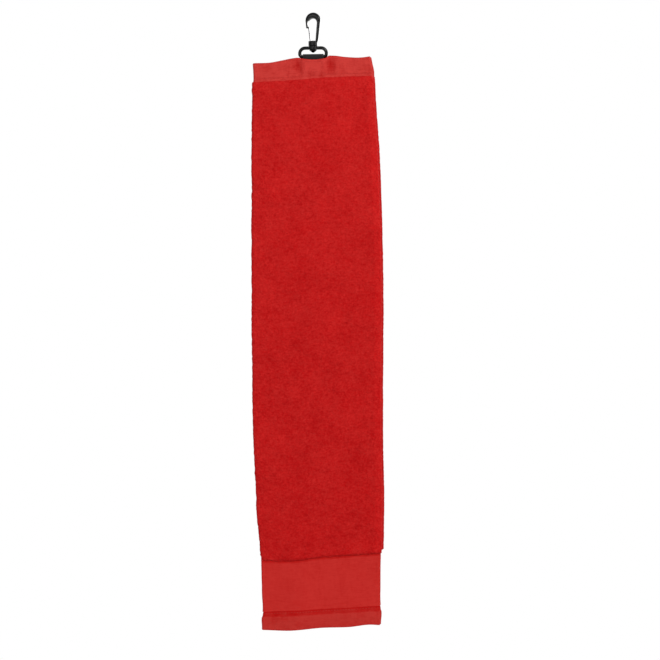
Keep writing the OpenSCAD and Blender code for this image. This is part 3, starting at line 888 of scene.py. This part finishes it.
def tape_material():
    n = Nodes("black_tape")
    at = n.attribute("cloth").outputs["Vector"]
    parts = n.add("SeparateXYZ", {0: at})
    across = n.math("SINE", n.math("MULTIPLY", parts.outputs[0], 2 * math.pi / (TAPE_WARP * MM)))
    along = n.math("SINE", n.math("MULTIPLY", parts.outputs[1], 2 * math.pi / (TAPE_WEFT * MM)))
    woven = n.math("MULTIPLY", across, along)
    dusty = n.span(n.noise(at, 1.5, 2), 0.3, 0.7, 0.8, 1.2)
    tone = n.math("MULTIPLY", n.span(woven, -1, 1, 0.7, 1.35), dusty)
    n.put(n.shader, "Base Color", n.scaled(TAPE_BLACK, tone))
    n.put(n.shader, "Roughness", 0.8)
    n.put(n.shader, "Sheen Weight", 0.04)
    n.put(n.shader, "Specular IOR Level", 0.25)
    bump = n.add("Bump", {"Height": woven, "Strength": 0.6, "Distance": 0.0002})
    n.put(n.shader, "Normal", bump.outputs[0])
    return n.material


def thread_material():
    n = Nodes("sewing_thread")
    at = n.attribute("cloth").outputs["Vector"]
    twist = {"Vector": at, "Scale": 1 / (0.9 * MM), "Distortion": 1.0}
    strands = n.add("TexWave", twist, bands_direction="DIAGONAL").outputs["Fac"]
    n.put(n.shader, "Base Color", n.scaled(red(*THREAD_RED), n.span(strands, 0, 1, 0.85, 1.1)))
    n.put(n.shader, "Roughness", 0.6)
    n.put(n.shader, "Specular IOR Level", 0.12)
    return n.material


velour = velour_material()
heading_weave = weave_material("heading_weave", HEADING_RED, HEADING_MOTTLE_AND_SHADE, 0.035)
border_weave = weave_material("border_weave", BORDER_RED, BORDER_MOTTLE_AND_SHADE, 0.025)
hem_weave = weave_material("hem_weave", HEM_RED, HEM_MOTTLE_AND_SHADE, 0.04)
plastic = plastic_material()
tape_look = tape_material()
thread = thread_material()

# ---------- camera, light and floor ----------

VIEW_WIDTH = 693.5  # width that the picture spans at the towel
LENS = 100
SENSOR = 36
ROLL = math.radians(0.86)  # the towel hangs a little out of the picture's upright
AIM = (13.4, 0, -327.6)  # the middle of the picture
FLOOR_R = 1.4  # metres
FRONT_DIM = 0.6  # the white surround's strength on the camera's side
FLOOR_AT = (0, 0, BOTTOM * MM - 0.3)
# Each lamp's place and size in metres, and its power in watts
LAMPS = {
    "key": ((0.7, -1.4, 0.8), 0.5, 23),
    "fill": ((-0.7, -1.8, 0.2), 0.9, 5),
    "side": ((1.6, -0.5, 0.2), 0.5, 3),
    "back": ((1.0, 1.55, 0.15), 0.9, 14),
}


def make_camera():
    data = bpy.data.cameras.new("camera")
    data.lens, data.sensor_width = LENS, SENSOR
    data.clip_end = 50
    camera = bpy.data.objects.new("camera", data)
    bpy.context.collection.objects.link(camera)
    distance = VIEW_WIDTH * LENS / SENSOR
    camera.location = Vector((AIM[0], AIM[1] - distance, AIM[2])) * MM
    camera.rotation_euler = (Matrix.Rotation(ROLL, 3, "Y") @ Matrix.Rotation(math.pi / 2, 3, "X")).to_euler()
    bpy.context.scene.camera = camera


def make_light(name, place, size, power):
    """A round white lamp turned to the middle of the picture."""
    data = bpy.data.lights.new(name, "AREA")
    data.shape, data.size, data.energy = "DISK", size, power
    light = bpy.data.objects.new(name, data)
    light.location = place
    aim = Vector(AIM) * MM - Vector(place)
    light.rotation_euler = aim.to_track_quat("-Z", "Y").to_euler()
    bpy.context.collection.objects.link(light)


def make_world():
    """A white surround, dimmer on the camera's side, where a studio has its lamps and the dark behind."""
    world = bpy.data.worlds.new("studio")
    world.use_nodes = True
    tree = world.node_tree
    background = tree.nodes["Background"]
    background.inputs["Color"].default_value = (1, 1, 1, 1)
    coord = tree.nodes.new("ShaderNodeTexCoord")
    parts = tree.nodes.new("ShaderNodeSeparateXYZ")
    fade = tree.nodes.new("ShaderNodeMapRange")
    fade.interpolation_type = "SMOOTHSTEP"
    for key, value in {"From Min": 0.0, "From Max": 0.9, "To Min": FRONT_DIM, "To Max": 1.0}.items():
        fade.inputs[key].default_value = value
    tree.links.new(coord.outputs["Generated"], parts.inputs[0])
    tree.links.new(parts.outputs["Y"], fade.inputs["Value"])
    tree.links.new(fade.outputs["Result"], background.inputs["Strength"])
    bpy.context.scene.world = world
    bpy.context.scene.view_settings.view_transform = "Standard"


def make_stage():
    bpy.ops.mesh.primitive_circle_add(vertices=96, radius=FLOOR_R, fill_type="NGON", location=FLOOR_AT)
    floor = bpy.context.object
    floor.name = "floor"
    n = Nodes("pale_floor")
    at = n.add("TexCoord").outputs["Object"]
    tone = n.span(n.noise(at, 300, 2), 0.3, 0.7, 0.99, 1.01)
    n.put(n.shader, "Base Color", n.scaled((0.93, 0.93, 0.93, 1), tone))
    n.put(n.shader, "Roughness", 0.9)
    floor.data.materials.append(n.material)
    for name, (place, size, power) in LAMPS.items():
        make_light(name, place, size, power)


make_camera()
make_world()
make_stage()

# ---------- making the pieces and putting some on the towel's body ---


def hang(piece, leaf_name, below_crease=True):
    """The piece follows the towel; a front or back leaf's piece below the crease only has its transform
    baked into its mesh.
    """
    if leaf_name == "centre" or not below_crease:
        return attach(piece, "towel")
    pos, axis = joint(f"{leaf_name}_leaf_open")
    side = {"front": 1, "back": -1}[leaf_name]
    out = np.cross(axis, (0, side, 0))
    out = out / np.linalg.norm(out)
    if out[0] * side < 0:
        out = -out
    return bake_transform(piece)


def finish_piece(piece, material, slot):
    piece.data.materials.append(material)
    return piece


def cloth_pieces():
    looks = {
        "heading": (heading_weave, "flat_weave"),
        "pile": (velour, "pile_cloth"),
        "border": (border_weave, "flat_weave"),
        "bottom_hem": (hem_weave, "flat_weave"),
    }
    for leaf in LEAVES:
        made = {}
        for key, zone in ZONES.items():
            piece = zone.piece(leaf if key == "pile" else flat(leaf))
            made[key] = finish_piece(piece, *looks[key])
            if leaf is CENTRE or key == "heading":
                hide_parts(f"{leaf.name}_{key}")
            else:
                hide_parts(f"{leaf.name}_{key}_sewn", f"{leaf.name}_{key}_free")
        edges = []
        if leaf is not CENTRE:
            edges = [side_hem(leaf, ZONES["pile"]), side_hem(flat(leaf), ZONES["border"])]
            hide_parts(f"{leaf.name}_side_hem")
        for edge, look in zip(edges, ("pile", "border")):
            finish_piece(edge, *looks[look])
        for key, piece in made.items():
            hang(piece, leaf.name, key != "heading")
        for edge in edges:
            hang(edge, leaf.name)


def thread_pieces():
    rows = {"tape_box_stitch": box_rows(flat(FRONT)) + box_rows(flat(BACK))}
    for leaf in LEAVES:
        rows[f"{leaf.name}_heading_stitch"] = [heading_row(flat(leaf))]
        rows[f"{leaf.name}_bottom_stitch"] = [bottom_row(flat(leaf))]
        if leaf is not CENTRE:
            rows[f"{leaf.name}_side_stitch"] = [side_row(leaf)]
    for name, seams in rows.items():
        piece = finish_piece(thread_mesh(f"{name}_thread", seams), thread, "sewing_thread")
        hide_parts(name)
        leaf_name = name.split("_")[0]
        hang(piece, "centre" if leaf_name == "tape" else leaf_name, "heading" not in name)


MOULDED = {"hook_body": 0.17, "spring_gate": 0.12, "swivel_ring": 0.17}  # grain of each one's remesh
SOFTEN, SOFTEN_TIMES = 0.5, 10  # how far and how often the smoothing moves a point


def mouldings():
    """The CAD's hook, gate and ring with their edges rounded as a mould leaves them."""
    for name, voxel in MOULDED.items():
        node = frame["nodes"][name]
        node.data.materials.clear()
        node.data.materials.append(plastic)
        remesh = node.modifiers.new("moulded", "REMESH")
        remesh.mode, remesh.voxel_size, remesh.use_smooth_shade = "VOXEL", voxel * MM, True
        soften = node.modifiers.new("soften", "SMOOTH")
        soften.factor, soften.iterations = SOFTEN, SOFTEN_TIMES


tape = finish_piece(tape_mesh(), tape_look, "black_tape")
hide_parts("hanging_tape")
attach(tape, "towel")
cloth_pieces()
thread_pieces()
mouldings()
